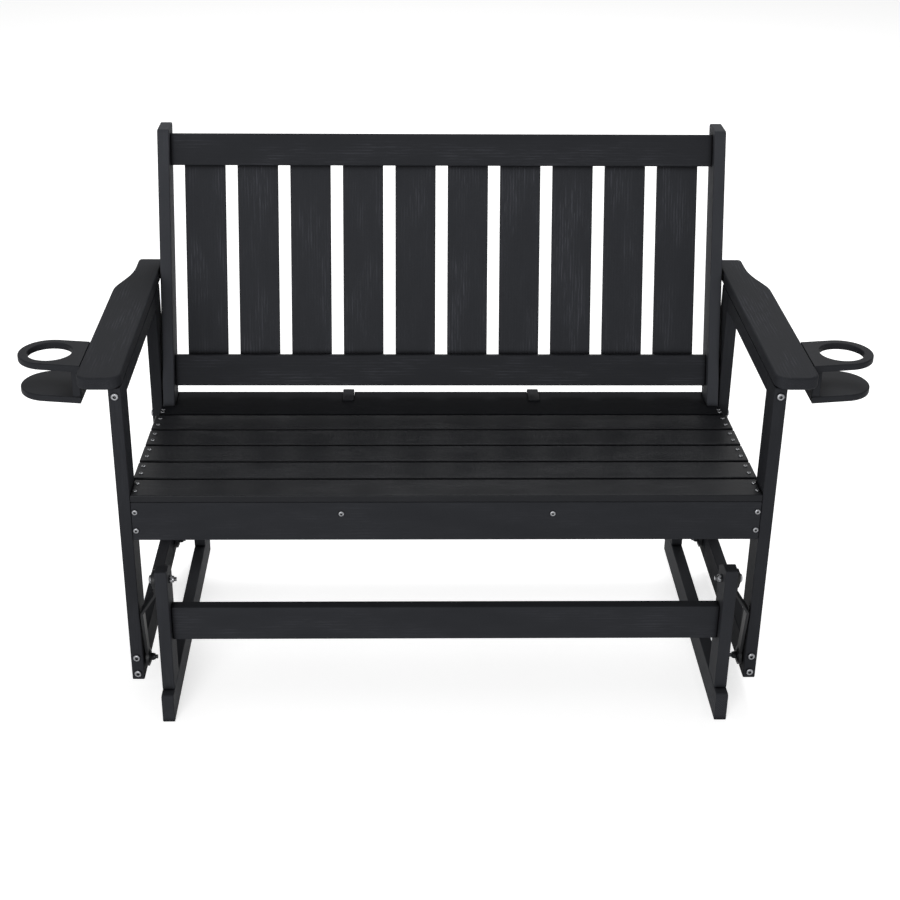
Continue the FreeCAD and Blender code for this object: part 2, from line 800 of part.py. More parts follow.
def bearing(middle_x, drop, bore_radius):
    """A bearing in the arm's eye: its flange seats on the arm's inner face."""
    along = Vector(1, 0, 0)
    start = Vector(middle_x - bearing_width / 2, 0, drop)
    flange_start = Vector(middle_x - link_thickness / 2 - bearing_flange, 0, drop)
    solid = rod(start, along, bearing_radius, bearing_width)
    solid = solid.fuse(rod(flange_start, along, bearing_flange_radius, bearing_flange))
    inner = bore_radius + (bearing_radius - bore_radius) * groove_start_share
    outer = bore_radius + (bearing_radius - bore_radius) * groove_end_share
    for place in (start, start + along * (bearing_width - bearing_groove)):
        groove = rod(place, along, outer, bearing_groove).cut(rod(place, along, inner, bearing_groove))
        solid = solid.cut(groove)
    return solid.cut(rod(start, along, bore_radius, bearing_width))


def links():
    """Four hanging arms, each with a bearing at both ends; the rear ones keep play at their lower bolts."""
    fit = bolt_radius + running_clearance
    loose = bolt_radius + open_pivot_play
    for place, upper_y, lower_y, lower_bore in (("front", upper_pivot_front, lower_pivot_front, fit),
                                                ("rear", upper_pivot_rear, lower_pivot_rear, loose)):
        length, turn = link_frame(upper_y, lower_y)
        arm = link_arm(length)
        step = lower_bearing_x - upper_bearing_x
        pair = [bearing(0, 0, fit), bearing(step, -length, lower_bore)]
        for name, side in sides:
            for kind, solids in (("link", [arm]), ("bearings", pair)):
                placed = []
                for solid in solids:
                    moved = solid.copy()
                    moved.rotate(Vector(0, 0, 0), Vector(1, 0, 0), turn)
                    moved.translate(Vector(upper_bearing_x, upper_y, upper_pivot_z))
                    if side < 0:
                        moved = moved.mirror(Vector(0, 0, 0), Vector(1, 0, 0))
                    placed.append(moved)
                save_group(name + "_" + place + "_" + kind, placed)


# The whole bench

def build():
    """Every sub-part, in its place."""
    base_screws = base_fasteners()
    upper_bolts = [upper_bolt(side, y) for side in (-1, 1) for y in (upper_pivot_front, upper_pivot_rear)]
    lower_bolts = [lower_bolt(side, y) for side in (-1, 1) for y in (lower_pivot_front, lower_pivot_rear)]
    frame_screws = apron_fasteners() + leg_fasteners() + arm_fasteners() + cup_fasteners()
    frame_screws += back_rail_fasteners()
    slat_screws = seat_slat_fasteners()
    back_screws = back_slat_fasteners()
    base_set = base_screws + upper_bolts
    seat_set = frame_screws + slat_screws + back_screws + lower_bolts

    runners(base_set)
    uprights(base_set)
    cross_rails(base_set)
    links()
    front_apron(seat_set)
    rear_apron(seat_set)
    side_stringers(seat_set)
    middle_stringers(seat_set)
    seat_slats(seat_set)
    legs(seat_set)
    side_rails(seat_set)
    armrests(seat_set)
    cup_holders(seat_set)
    back_posts(seat_set)
    back_rails(seat_set)
    back_slats(seat_set)

    save_group("base_screws", [screw_solid(item) for item in base_screws])
    save_group("frame_screws", [screw_solid(item) for item in frame_screws] + post_spacers())
    save_group("seat_screws", [screw_solid(item) for item in slat_screws])
    save_group("back_screws", [screw_solid(item) for item in back_screws])
    save_group("upper_pivot_bolts", [piece for bolt in upper_bolts for piece in pivot_hardware(bolt, 0)])
    save_group("lower_pivot_bolts", [piece for bolt in lower_bolts for piece in pivot_hardware(bolt, board)])


def post_spacers():
    """Spacers on the bolts between the rear legs and the back posts."""
    spacers = []
    for item in leg_fasteners():
        if item["length"] == post_screw_length:
            run = -item["out"]
            start = item["surface"] + run * board
            hole = rod(item["surface"], run, leg_screw[2] + hole_clearance, item["length"])
            spacers.append(rod(start, run, spacer_radius, post_gap).cut(hole))
    return spacers


build()
moved_by = write_all()
length, turn = link_frame(upper_pivot_front, lower_pivot_front)
print("link length", round(length, 2), "turn", round(turn, 2))
print("moved towards the front by", round(moved_by, 4))
for label, y, z, x in (("upper front pivot", upper_pivot_front, upper_pivot_z, upper_bearing_x),
                       ("upper rear pivot", upper_pivot_rear, upper_pivot_z, upper_bearing_x),
                       ("lower front pivot", lower_pivot_front, lower_pivot_z, lower_bearing_x),
                       ("lower rear pivot", lower_pivot_rear, lower_pivot_z, lower_bearing_x)):
    print(label, "x", round(x, 2), "y", round(y - moved_by, 4), "z", round(z, 2))
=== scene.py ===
import json
import math

import bmesh
import bpy
from mathutils import Matrix, Vector


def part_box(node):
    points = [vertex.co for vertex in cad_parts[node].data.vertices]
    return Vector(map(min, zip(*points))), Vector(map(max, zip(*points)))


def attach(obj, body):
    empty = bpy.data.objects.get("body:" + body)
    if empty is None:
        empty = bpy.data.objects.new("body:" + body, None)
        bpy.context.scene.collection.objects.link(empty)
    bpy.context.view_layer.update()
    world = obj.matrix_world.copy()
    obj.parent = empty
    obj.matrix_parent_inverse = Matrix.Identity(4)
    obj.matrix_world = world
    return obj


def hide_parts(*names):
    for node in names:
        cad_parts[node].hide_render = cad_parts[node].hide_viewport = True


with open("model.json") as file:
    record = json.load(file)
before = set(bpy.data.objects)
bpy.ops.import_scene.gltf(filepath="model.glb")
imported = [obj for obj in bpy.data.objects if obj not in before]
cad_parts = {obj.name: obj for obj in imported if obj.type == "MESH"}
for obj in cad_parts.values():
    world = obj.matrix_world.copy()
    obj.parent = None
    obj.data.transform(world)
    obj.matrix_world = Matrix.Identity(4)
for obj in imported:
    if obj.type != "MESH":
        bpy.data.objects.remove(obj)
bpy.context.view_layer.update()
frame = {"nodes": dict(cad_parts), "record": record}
nodes = frame["nodes"]
mm = 0.001

# The camera's place and its turns were fitted to the bench's own straight edges.
viewpoint = {
    "place": (-0.0840, -2.7655, 1.7470),
    "pitchDown": 0.4614,
    "yawRight": 0.0208,
    "roll": 0.0087,
    "imageSize": 900,
    "focalPixels": 1634.6,
    "axisColumn": 429,  # the column that the lens looks straight at
    "sensorWidth": 36.0,
}


def makeCamera():
    v = viewpoint
    data = bpy.data.cameras.new("camera")
    data.sensor_width = v["sensorWidth"]
    data.lens = v["focalPixels"] / v["imageSize"] * v["sensorWidth"]
    data.shift_x = (v["imageSize"] / 2 - v["axisColumn"]) / v["imageSize"]
    camera = bpy.data.objects.new("camera", data)
    bpy.context.scene.collection.objects.link(camera)
    forward = Vector((math.sin(v["yawRight"]) * math.cos(v["pitchDown"]),
                      math.cos(v["yawRight"]) * math.cos(v["pitchDown"]), -math.sin(v["pitchDown"])))
    level = Vector((math.cos(v["yawRight"]), -math.sin(v["yawRight"]), 0))
    above = level.cross(forward)
    right = level * math.cos(v["roll"]) + above * math.sin(v["roll"])
    above = above * math.cos(v["roll"]) - level * math.sin(v["roll"])
    turn = Matrix((right, above, -forward)).transposed()
    camera.matrix_world = Matrix.Translation(v["place"]) @ turn.to_4x4()
    bpy.context.scene.camera = camera


makeCamera()


# Nodes and colours

def linearColour(hexColour, strength=1.0):
    # sRGB hex to the linear values that the shader mixes, lighter or darker by strength
    channels = [int(hexColour[n:n + 2], 16) / 255 for n in (1, 3, 5)]
    linear = [c / 12.92 if c <= 0.04045 else ((c + 0.055) / 1.055) ** 2.4 for c in channels]
    return [strength * c for c in linear] + [1.0]


def addNode(tree, kind, settings=None, inputs=None):
    # one node, with its settings, and each input either a plain value or another node's output
    node = tree.nodes.new(kind)
    for name, value in (settings or {}).items():
        setattr(node, name, value)
    for name, value in (inputs or {}).items():
        if isinstance(value, bpy.types.NodeSocket):
            tree.links.new(value, node.inputs[name])
        else:
            node.inputs[name].default_value = value
    return node


def newMaterial(name):
    material = bpy.data.materials.new(name)
    material.use_nodes = True
    material.node_tree.nodes.clear()
    return material, material.node_tree


def finishMaterial(tree, shader):
    addNode(tree, "ShaderNodeOutputMaterial", inputs={"Surface": shader.outputs[0]})


# Poly lumber: extruded HDPE boards, embossed with a wood grain on their wide faces and sawn at the ends.
# They look like matte painted wood, near black, with pale flecks where the grain is pressed deepest.
polyLumber = {
    "valley": "#222326",
    "face": "#2b2c2f",
    "crest": "#404146",
    "creviceShade": "#08080a",
    "ior": 1.50,
    "roughness": 0.60,
    "roughnessSwing": 0.16,
    "specular": 0.03,
    "boardShift": (9.0, 4.0, 6.0),  # each board is cut from another stretch of the pattern
    "lineSpacing": 5.5 * mm,
    "lineStretch": 0.085,
    "lineWander": {"Distortion": 6.0, "Detail": 2.0, "Detail Scale": 0.35, "Detail Roughness": 0.55},
    "poreWidth": 1.5 * mm,
    "poreLength": 20 * mm,
    "poreNoise": {"Detail": 3.0, "Roughness": 0.6},
    "poreLimits": (0.40, 0.62),
    "patchWidth": 45 * mm,
    "patchStretch": 0.32,
    "patchNoise": {"Detail": 2.0, "Roughness": 0.5},
    "patchLimits": (0.44, 0.66),
    "shallowest": 0.12,
    "skinGrain": 1.4 * mm,  # coarser than the real skin, whose grain is too fine to show
    "skinShare": 0.18,
    "sawSpacing": 2.2 * mm,
    "sawWander": 1.5,
    "embossDepth": 0.55 * mm,
    "embossStrength": 0.85,
    "wideLimits": (0.55, 0.95),
    "edgeShare": 0.22,
    # painted shade: the colour and reach of the darkening in the gaps and joints between boards
    "endLimits": (0.80, 0.97),
    "creviceShadeReach": 14 * mm,
    "openLimits": (0.45, 0.90),
}


def bandScale(spacing):
    # the wave texture draws a band for each 2 pi / 20 of its scaled length
    return 2 * math.pi / (20 * spacing)


def boardSpace(tree, p):
    # where a point lies along, across and out of its board, and how squarely it faces out of a wide
    # side and out of an end
    along = Vector(p["along"]).normalized()
    outward = Vector(p["outward"]).normalized()
    turn = Matrix((along, outward.cross(along), outward)).to_euler()
    source = addNode(tree, "ShaderNodeTexCoord")
    chance = addNode(tree, "ShaderNodeObjectInfo")
    shift = addNode(tree, "ShaderNodeVectorMath", {"operation": "SCALE"},
                    {0: p["boardShift"], "Scale": chance.outputs["Random"]})
    board = addNode(tree, "ShaderNodeMapping", {"vector_type": "POINT"},
                    {"Vector": source.outputs["Object"], "Rotation": turn})
    place = addNode(tree, "ShaderNodeVectorMath", {"operation": "ADD"},
                    {0: board.outputs[0], 1: shift.outputs[0]})
    facing = addNode(tree, "ShaderNodeMapping", {"vector_type": "NORMAL"},
                     {"Vector": source.outputs["Normal"], "Rotation": turn})
    parts = addNode(tree, "ShaderNodeSeparateXYZ", inputs={0: facing.outputs[0]})
    wide = addNode(tree, "ShaderNodeMath", {"operation": "ABSOLUTE"}, {0: parts.outputs["Z"]})
    end = addNode(tree, "ShaderNodeMath", {"operation": "ABSOLUTE"}, {0: parts.outputs["X"]})
    return place.outputs[0], wide.outputs[0], end.outputs[0]


def boardPatches(tree, p, place):
    # cloudy stretches of a board, which are pressed and worn differently
    space = addNode(tree, "ShaderNodeVectorMath", {"operation": "MULTIPLY"},
                    {0: place, 1: (p["patchStretch"], 1.0, 1.0)})
    patches = addNode(tree, "ShaderNodeTexNoise", {},
                      {"Vector": space.outputs[0], "Scale": 1.0 / p["patchWidth"], **p["patchNoise"]})
    return patches.outputs[0]


def pressedGrain(tree, p, place, wide, patches):
    # growth lines that wander into long flames, broken up into pores, deepest on the wide faces
    lineSpace = addNode(tree, "ShaderNodeVectorMath", {"operation": "MULTIPLY"},
                        {0: place, 1: (p["lineStretch"], 1.0, 1.0)})
    lines = addNode(tree, "ShaderNodeTexWave",
                    {"wave_type": "BANDS", "bands_direction": "Y", "wave_profile": "SIN"},
                    {"Vector": lineSpace.outputs[0], "Scale": bandScale(p["lineSpacing"]),
                     **p["lineWander"]})
    poreSpace = addNode(tree, "ShaderNodeVectorMath", {"operation": "MULTIPLY"},
                        {0: place, 1: (p["poreWidth"] / p["poreLength"], 1.0, 1.0)})
    pores = addNode(tree, "ShaderNodeTexNoise", {},
                    {"Vector": poreSpace.outputs[0], "Scale": 1.0 / (2 * p["poreWidth"]),
                     **p["poreNoise"]})
    dashes = addNode(tree, "ShaderNodeMapRange", {"interpolation_type": "SMOOTHSTEP"},
                     {"Value": pores.outputs[0], "From Min": p["poreLimits"][0],
                      "From Max": p["poreLimits"][1]})
    depth = addNode(tree, "ShaderNodeMapRange", {"interpolation_type": "SMOOTHSTEP"},
                    {"Value": patches, "From Min": p["patchLimits"][0], "From Max": p["patchLimits"][1],
                     "To Min": p["shallowest"], "To Max": 1.0})
    share = addNode(tree, "ShaderNodeMapRange", {"interpolation_type": "SMOOTHSTEP"},
                    {"Value": wide, "From Min": p["wideLimits"][0], "From Max": p["wideLimits"][1],
                     "To Min": p["edgeShare"] * p["pressed"], "To Max": p["pressed"]})
    grain = lines.outputs[1]
    for layer in (dashes, depth, share):
        product = addNode(tree, "ShaderNodeMath", {"operation": "MULTIPLY"},
                          {0: grain, 1: layer.outputs[0]})
        grain = product.outputs[0]
    return grain


def lumberBump(tree, p, place, end, grain):
    # the grain on the faces, saw marks on the ends and a fine skin over both
    saw = addNode(tree, "ShaderNodeTexWave", {"wave_type": "BANDS", "bands_direction": "DIAGONAL"},
                  {"Vector": place, "Scale": bandScale(p["sawSpacing"]), "Distortion": p["sawWander"]})
    sawn = addNode(tree, "ShaderNodeMapRange", {"interpolation_type": "SMOOTHSTEP"},
                   {"Value": end, "From Min": p["endLimits"][0], "From Max": p["endLimits"][1]})
    relief = addNode(tree, "ShaderNodeMix", {"data_type": "FLOAT"},
                     {0: sawn.outputs[0], 2: grain, 3: saw.outputs[1]})
    skin = addNode(tree, "ShaderNodeTexNoise", {},
                   {"Vector": place, "Scale": 1.0 / p["skinGrain"], "Detail": 2.0})
    height = addNode(tree, "ShaderNodeMath", {"operation": "MULTIPLY_ADD"},
                     {0: skin.outputs[0], 1: p["skinShare"], 2: relief.outputs[0]})
    bump = addNode(tree, "ShaderNodeBump", {},
                   {"Height": height.outputs[0], "Distance": p["embossDepth"],
                    "Strength": p["embossStrength"]})
    return bump.outputs[0]


def lumberColour(tree, p, grain, patches):
    # painted light and shade: each kind's tone lightens or darkens these colours
    streaks = addNode(tree, "ShaderNodeValToRGB", inputs={0: grain})
    streaks.color_ramp.elements[0].color = linearColour(p["face"], p["paintedLightTone"])
    streaks.color_ramp.elements[1].color = linearColour(p["crest"], p["paintedLightTone"])
    clean = addNode(tree, "ShaderNodeMix", {"data_type": "RGBA"},
                    {0: patches, 6: linearColour(p["valley"], p["paintedLightTone"]), 7: streaks.outputs[0]})
    # painted shade: gaps and joints between boards, and the faces beside them, are darkened toward near
    # black by how closed in they are, for the shade that falls there
    openSky = addNode(tree, "ShaderNodeAmbientOcclusion", {"samples": 6}, {"Distance": p["creviceShadeReach"]})
    openShare = addNode(tree, "ShaderNodeMapRange", {"interpolation_type": "SMOOTHSTEP"},
                        {"Value": openSky.outputs["AO"], "From Min": p["openLimits"][0],
                         "From Max": p["openLimits"][1]})
    creviceShaded = addNode(tree, "ShaderNodeMix", {"data_type": "RGBA"},
                        {0: openShare.outputs[0], 6: linearColour(p["creviceShade"]), 7: clean.outputs[2]})
    return creviceShaded.outputs[2]


def polyLumberMaterial(name, kind):
    p = {**polyLumber, **kind}
    material, tree = newMaterial(name)
    place, wide, end = boardSpace(tree, p)
    patches = boardPatches(tree, p, place)
    grain = pressedGrain(tree, p, place, wide, patches)
    rough = addNode(tree, "ShaderNodeMapRange", {},
                    {"Value": patches, "To Min": p["roughness"] - p["roughnessSwing"] / 2,
                     "To Max": p["roughness"] + p["roughnessSwing"] / 2})
    shader = addNode(tree, "ShaderNodeBsdfPrincipled", {},
                     {"Base Color": lumberColour(tree, p, grain, patches), "Roughness": rough.outputs[0],
                      "IOR": p["ior"], "Specular IOR Level": p["specular"],
                      "Normal": lumberBump(tree, p, place, end, grain)})
    finishMaterial(tree, shader)
    return material


def leanOfBack():
    # the angle of the back's posts, from how far their front edge goes back between foot and top
    low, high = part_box("left_back_post")
    nearEnd = 12 * mm
    corners = [v.co for v in nodes["left_back_post"].data.vertices]
    top = min(v.y for v in corners if v.z > high.z - nearEnd)
    foot = min(v.y for v in corners if v.z < low.z + nearEnd)
    return math.atan2(top - foot, high.z - low.z - nearEnd)


backLean = leanOfBack()
alongBench = (1, 0, 0)
frontToBack = (0, 1, 0)
facingFront = (0, -1, 0)
upright = (0, 0, 1)
upBack = (0, math.sin(backLean), math.cos(backLean))
outOfBack = (0, -math.cos(backLean), math.sin(backLean))

# Kinds of board, by the words in their nodes' names. The grain runs along a board and is pressed into the
# side that faces outward. Each kind's tone lightens or darkens its colours as painted light and shade, for
# how the lamps fall on it: lighter on the posts, back and runners, darker on the seat and darkest on its
# rear board, in the back's shade. pressed is how deep its grain is, because batches differ.
lumberKinds = {
    # worn smooth, so that the gaps in the back show in them as pale bands; its tone paints it darker, as
    # painted shade
    "lumberSeat": {"boards": ("seat_slat_",), "along": alongBench, "outward": upright,
                   "paintedLightTone": 0.68, "pressed": 0.35, "roughness": 0.36, "specular": 0.07},
    # painted shade: the rear board's low tone paints the back's shade onto it
    "lumberRearBoard": {"boards": ("seat_rear_board",), "along": alongBench, "outward": upright,
                        "paintedLightTone": 0.60, "pressed": 0.35, "specular": 0.01},
    "lumberApron": {"boards": ("_apron",), "along": alongBench, "outward": facingFront,
                    "paintedLightTone": 1.0, "pressed": 0.3},
    "lumberCrossRail": {"boards": ("_cross_rail",), "along": alongBench, "outward": facingFront,
                        "paintedLightTone": 1.08, "pressed": 0.4},
    "lumberBackRail": {"boards": ("back_bottom_rail", "back_top_rail"), "along": alongBench,
                       "outward": outOfBack, "paintedLightTone": 1.16, "pressed": 0.7},
    "lumberBackSlat": {"boards": ("back_slat_",), "along": upBack, "outward": outOfBack,
                       "paintedLightTone": 1.40, "pressed": 1.0},
    # painted light: the posts' tone paints them twice as light, for the light on their fronts
    "lumberPost": {"boards": ("_back_post",), "along": upBack, "outward": alongBench,
                   "paintedLightTone": 2.0, "pressed": 0.8},
    "lumberLeg": {"boards": ("_leg",), "along": upright, "outward": alongBench,
                  "paintedLightTone": 0.95, "pressed": 0.8},
    "lumberUpright": {"boards": ("_upright",), "along": upright, "outward": alongBench,
                      "paintedLightTone": 1.15, "pressed": 0.8},
    "lumberSideRail": {"boards": ("_lower_rail", "_arm_rail", "_stringer"), "along": frontToBack,
                       "outward": alongBench, "paintedLightTone": 1.0, "pressed": 0.8},
    "lumberRunner": {"boards": ("_runner",), "along": frontToBack, "outward": alongBench,
                     "paintedLightTone": 1.3, "pressed": 0.8},
    "lumberArm": {"boards": ("_armrest",), "along": frontToBack, "outward": upright,
                  "paintedLightTone": 1.12, "pressed": 1.0},
}

# Plastics, and the powder coat, which is one too. Each texture is drawn as coarse as it needs to show.
plastics = {
    # polypropylene, injection moulded in a spark-eroded mould: an even, fine matte skin
    "mouldedPolypropylene": {"colour": "#2a2b2e", "roughness": 0.46, "ior": 1.49, "specular": 0.03,
                             "texture": 1.6 * mm, "textureDepth": 0.10 * mm},
    # powder-coated mild steel: a thick, slightly rippled black skin, like orange peel
    "powderCoat": {"colour": "#1b1c1e", "roughness": 0.42, "ior": 1.50, "specular": 0.18,
                   "texture": 2.6 * mm, "textureDepth": 0.12 * mm},
    # nitrile rubber, the seal between a bearing's rings: black and dull
    "nitrileRubber": {"colour": "#161617", "roughness": 0.62, "ior": 1.52, "specular": 0.35,
                      "texture": 0.9 * mm, "textureDepth": 0.05 * mm},
    # nylon, the ring that locks a nut: grey and waxy
    "nylonInsert": {"colour": "#6a6b6d", "roughness": 0.45, "ior": 1.53, "specular": 0.45,
                    "texture": 0.8 * mm, "textureDepth": 0.03 * mm},
}
everyPlastic = {"textureNoise": {"Detail": 3.0, "Roughness": 0.65}, "textureStrength": 0.7,
                "roughnessSwing": 0.12, "cloudSize": 55.6 * mm, "cloudTone": 0.82}

# The last two values of each metal give the colour and reach of its painted shade in hollows.
metals = {
    # stainless steel, cold headed and tumbled: bright, with faint scuffs
    "stainlessSteel": {"colour": "#929396", "scuffed": "#525356", "roughness": 0.30, "scuffSize": 1.6 * mm,
                       "hollowShadeReach": 6.0 * mm, "hollowShade": "#0c0c0d"},
    # bearing steel, ground and blackened: dark, with a dull shine
    "bearingSteel": {"colour": "#3b3c3f", "scuffed": "#1d1e20", "roughness": 0.34, "scuffSize": 0.9 * mm,
                     "hollowShadeReach": 2.5 * mm, "hollowShade": "#101011"},
    # mild steel with a black oxide finish, for the washers and the lower nuts: near black
    "blackOxide": {"colour": "#2a2b2d", "scuffed": "#19191b", "roughness": 0.42, "scuffSize": 1.1 * mm,
                   "hollowShadeReach": 2.5 * mm, "hollowShade": "#0c0c0d"},
}
everyMetal = {"scuffNoise": {"Detail": 4.0, "Roughness": 0.7}, "scuffLimits": (0.42, 0.72),
              "scuffRoughness": 0.16, "openLimits": (0.42, 0.82)}


def plasticMaterial(name, plastic):
    p = {**everyPlastic, **plastic}
    material, tree = newMaterial(name)
    source = addNode(tree, "ShaderNodeTexCoord")
    texture = addNode(tree, "ShaderNodeTexNoise", {},
                      {"Vector": source.outputs["Object"], "Scale": 1.0 / p["texture"],
                       **p["textureNoise"]})
    cloud = addNode(tree, "ShaderNodeTexNoise", {},
                    {"Vector": source.outputs["Object"], "Scale": 1.0 / p["cloudSize"], "Detail": 2.0})
    tint = addNode(tree, "ShaderNodeMix", {"data_type": "RGBA"},
                   {0: cloud.outputs[0], 6: linearColour(p["colour"], p["cloudTone"]),
                    7: linearColour(p["colour"])})
    rough = addNode(tree, "ShaderNodeMapRange", {},
                    {"Value": texture.outputs[0], "To Min": p["roughness"] - p["roughnessSwing"] / 2,
                     "To Max": p["roughness"] + p["roughnessSwing"] / 2})
    bump = addNode(tree, "ShaderNodeBump", {},
                   {"Height": texture.outputs[0], "Distance": p["textureDepth"],
                    "Strength": p["textureStrength"]})
    shader = addNode(tree, "ShaderNodeBsdfPrincipled", {},
                     {"Base Color": tint.outputs[2], "Roughness": rough.outputs[0], "IOR": p["ior"],
                      "Specular IOR Level": p["specular"], "Normal": bump.outputs[0]})
    finishMaterial(tree, shader)
    return material


def metalMaterial(name, metal):
    p = {**everyMetal, **metal}
    material, tree = newMaterial(name)
    source = addNode(tree, "ShaderNodeTexCoord")
    scuffs = addNode(tree, "ShaderNodeTexNoise", {},
                     {"Vector": source.outputs["Object"], "Scale": 1.0 / p["scuffSize"],
                      **p["scuffNoise"]})
    worn = addNode(tree, "ShaderNodeMapRange", {"interpolation_type": "SMOOTHSTEP"},
                   {"Value": scuffs.outputs[0], "From Min": p["scuffLimits"][0],
                    "From Max": p["scuffLimits"][1]})
    tint = addNode(tree, "ShaderNodeMix", {"data_type": "RGBA"},
                   {0: worn.outputs[0], 6: linearColour(p["colour"]), 7: linearColour(p["scuffed"])})
    # painted shade: sockets, the gaps between threads and where a head meets the board are darkened by how
    # closed in they are
    openSky = addNode(tree, "ShaderNodeAmbientOcclusion", {"samples": 8}, {"Distance": p["hollowShadeReach"]})
    openShare = addNode(tree, "ShaderNodeMapRange", {"interpolation_type": "SMOOTHSTEP"},
                        {"Value": openSky.outputs["AO"], "From Min": p["openLimits"][0],
                         "From Max": p["openLimits"][1]})
    hollowShaded = addNode(tree, "ShaderNodeMix", {"data_type": "RGBA"},
                    {0: openShare.outputs[0], 6: linearColour(p["hollowShade"]), 7: tint.outputs[2]})
    rough = addNode(tree, "ShaderNodeMapRange", {},
                    {"Value": worn.outputs[0], "To Min": p["roughness"],
                     "To Max": p["roughness"] + p["scuffRoughness"]})
    shader = addNode(tree, "ShaderNodeBsdfPrincipled", {},
                     {"Base Color": hollowShaded.outputs[2], "Metallic": 1.0, "Roughness": rough.outputs[0]})
    finishMaterial(tree, shader)
    return material


materials = {name: polyLumberMaterial(name, kind) for name, kind in lumberKinds.items()}
materials.update({name: plasticMaterial(name, plastic) for name, plastic in plastics.items()})
materials.update({name: metalMaterial(name, metal) for name, metal in metals.items()})
print("materials made:", len(materials))


def materialFor(node):
    if node.endswith(("_screws", "_bolts")):
        return "stainlessSteel"
    if node.endswith("_bearings"):
        return "bearingSteel"
    if node.endswith("_link"):
        return "powderCoat"
    if node.endswith("_cup_holder"):
        return "mouldedPolypropylene"
    for name, kind in lumberKinds.items():
        if any(board in node for board in kind["boards"]):
            return name
    raise ValueError("no finish for " + node)


def dressNodes():
    for name, node in nodes.items():
        node.data.materials.clear()
        node.data.materials.append(materials[materialFor(name)])


dressNodes()
print("nodes dressed:", len(nodes))


# Pivot hardware, modelled round the CAD's own pivots. Sizes are in millimetres. A profile's points go
# along the bolt and across it, and a third number is the width across the flats of a hexagon.
pivotBearing = {
    "radius": 12.5,
    "half": 3.5,  # half its width along the bolt
    "flangeRadius": 15.0,
    "flange": 1.0,
    "outerWall": 1.9,
    "innerWall": 1.9,
    "chamfer": 0.35,
    "boreRadius": 4.05,
    "openBoreRadius": 8.4,  # of the lower rear bearings, which have the open pivots' play
    "leastSeal": 0.6,
    "sealSunk": 0.4,
    "groove": 0.25,  # a shallow groove runs round the middle of the seal
    "grooveSlope": 0.3,
    "finishes": ("bearingSteel", "nitrileRubber"),
}
pivotBolt = {
    "shank": 4.0,
    "headRadius": 8.0,
    "headHeight": 4.5,
    "crown": 3.9,
    "domeShare": 0.8,
    "domeSteps": 6,
    "socketFlats": 5.0,
    "socketDepth": 3.0,
    "edge": 0.2,
    "seatToBearing": {"upper": 4.8, "lower": 26.8},
    "washerRadius": 11.5,
    "washer": 1.0,
    "bearingRoom": 7.6,
    "seatToNut": 31.6,
    "nutFlats": 13.0,
    "nutHeight": 8.0,
    "nutHex": 5.4,
    "nutChamfer": 0.5,
    "nutFace": 0.1,
    "collarRadius": 5.9,
    "collarRound": 0.6,
    "nylon": 1.2,
    "nylonSunk": 0.5,
    "nylonHeight": 0.35,
    "tip": 4.5,
    "pitch": 1.25,
    "threadDepth": 0.6,
    "play": 0.08,
    "nutFinish": {"upper": "stainlessSteel", "lower": "blackOxide"},
    "finishes": ("stainlessSteel", "nylonInsert", "blackOxide"),
}
turnSteps = 36
sharpAngle = 35  # degrees


def turned(shape, profile, centre, way, finish, capped=False):
    # spins a profile round the pivot's axis, into a ring or, capped, a solid bar
    rings = []
    for along, across, *flats in profile:
        ring = []
        for step in range(turnSteps):
            angle = 2 * math.pi * step / turnSteps
            reach = across
            if flats:
                reach = min(across, flats[0] / 2 / math.cos(angle % (math.pi / 3) - math.pi / 6))
            ring.append(shape.verts.new(centre + mm * Vector((way * along, reach * math.sin(angle),
                                                              reach * math.cos(angle)))))
        rings.append(ring)
    pairs = list(zip(rings, rings[1:]))
    if not capped:
        pairs.append((rings[-1], rings[0]))
    faces = [shape.faces.new((a[step - 1], a[step], b[step], b[step - 1])) for a, b in pairs
             for step in range(turnSteps)]
    if capped:
        faces += [shape.faces.new(rings[0]), shape.faces.new(rings[-1])]
    for face in faces:
        face.material_index = finish
        face.smooth = True


def finishPiece(shape, name, body, replaced, finishes):
    bmesh.ops.recalc_face_normals(shape, faces=shape.faces)
    mesh = bpy.data.meshes.new(name)
    shape.to_mesh(mesh)
    shape.free()
    mesh.set_sharp_from_angle(angle=math.radians(sharpAngle))
    for finish in finishes:
        mesh.materials.append(materials[finish])
    piece = bpy.data.objects.new(name, mesh)
    bpy.context.scene.collection.objects.link(piece)
    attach(piece, body)
    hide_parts(replaced)


def makeBearing(shape, centre, way, bore):
    b = pivotBearing
    half = b["half"]
    bevel = b["chamfer"]
    steel = b["finishes"].index("bearingSteel")
    rubber = b["finishes"].index("nitrileRubber")
    inside = b["radius"] - b["outerWall"]
    hub = min(bore + b["innerWall"], inside - b["leastSeal"])
    outer = [(-half, inside), (-half, b["flangeRadius"] - bevel), (bevel - half, b["flangeRadius"]),
             (b["flange"] - half, b["flangeRadius"]), (b["flange"] - half, b["radius"]),
             (half - bevel, b["radius"]), (half, b["radius"] - bevel), (half, inside)]
    turned(shape, outer, centre, way, steel)
    inner = [(-half, bore + bevel), (-half, hub - bevel / 2), (bevel / 2 - half, hub),
             (half - bevel / 2, hub), (half, hub - bevel / 2), (half, bore + bevel), (half - bevel, bore),
             (bevel - half, bore)]
    turned(shape, inner, centre, way, steel)
    face = half - b["sealSunk"]
    low = face - b["groove"]
    middle = (hub + inside) / 2
    slope = middle + b["grooveSlope"]
    seal = [(-face, hub), (-face, middle), (-low, slope), (-face, inside), (face, inside), (low, slope),
            (face, middle), (face, hub)]
    turned(shape, seal, centre, way, rubber)


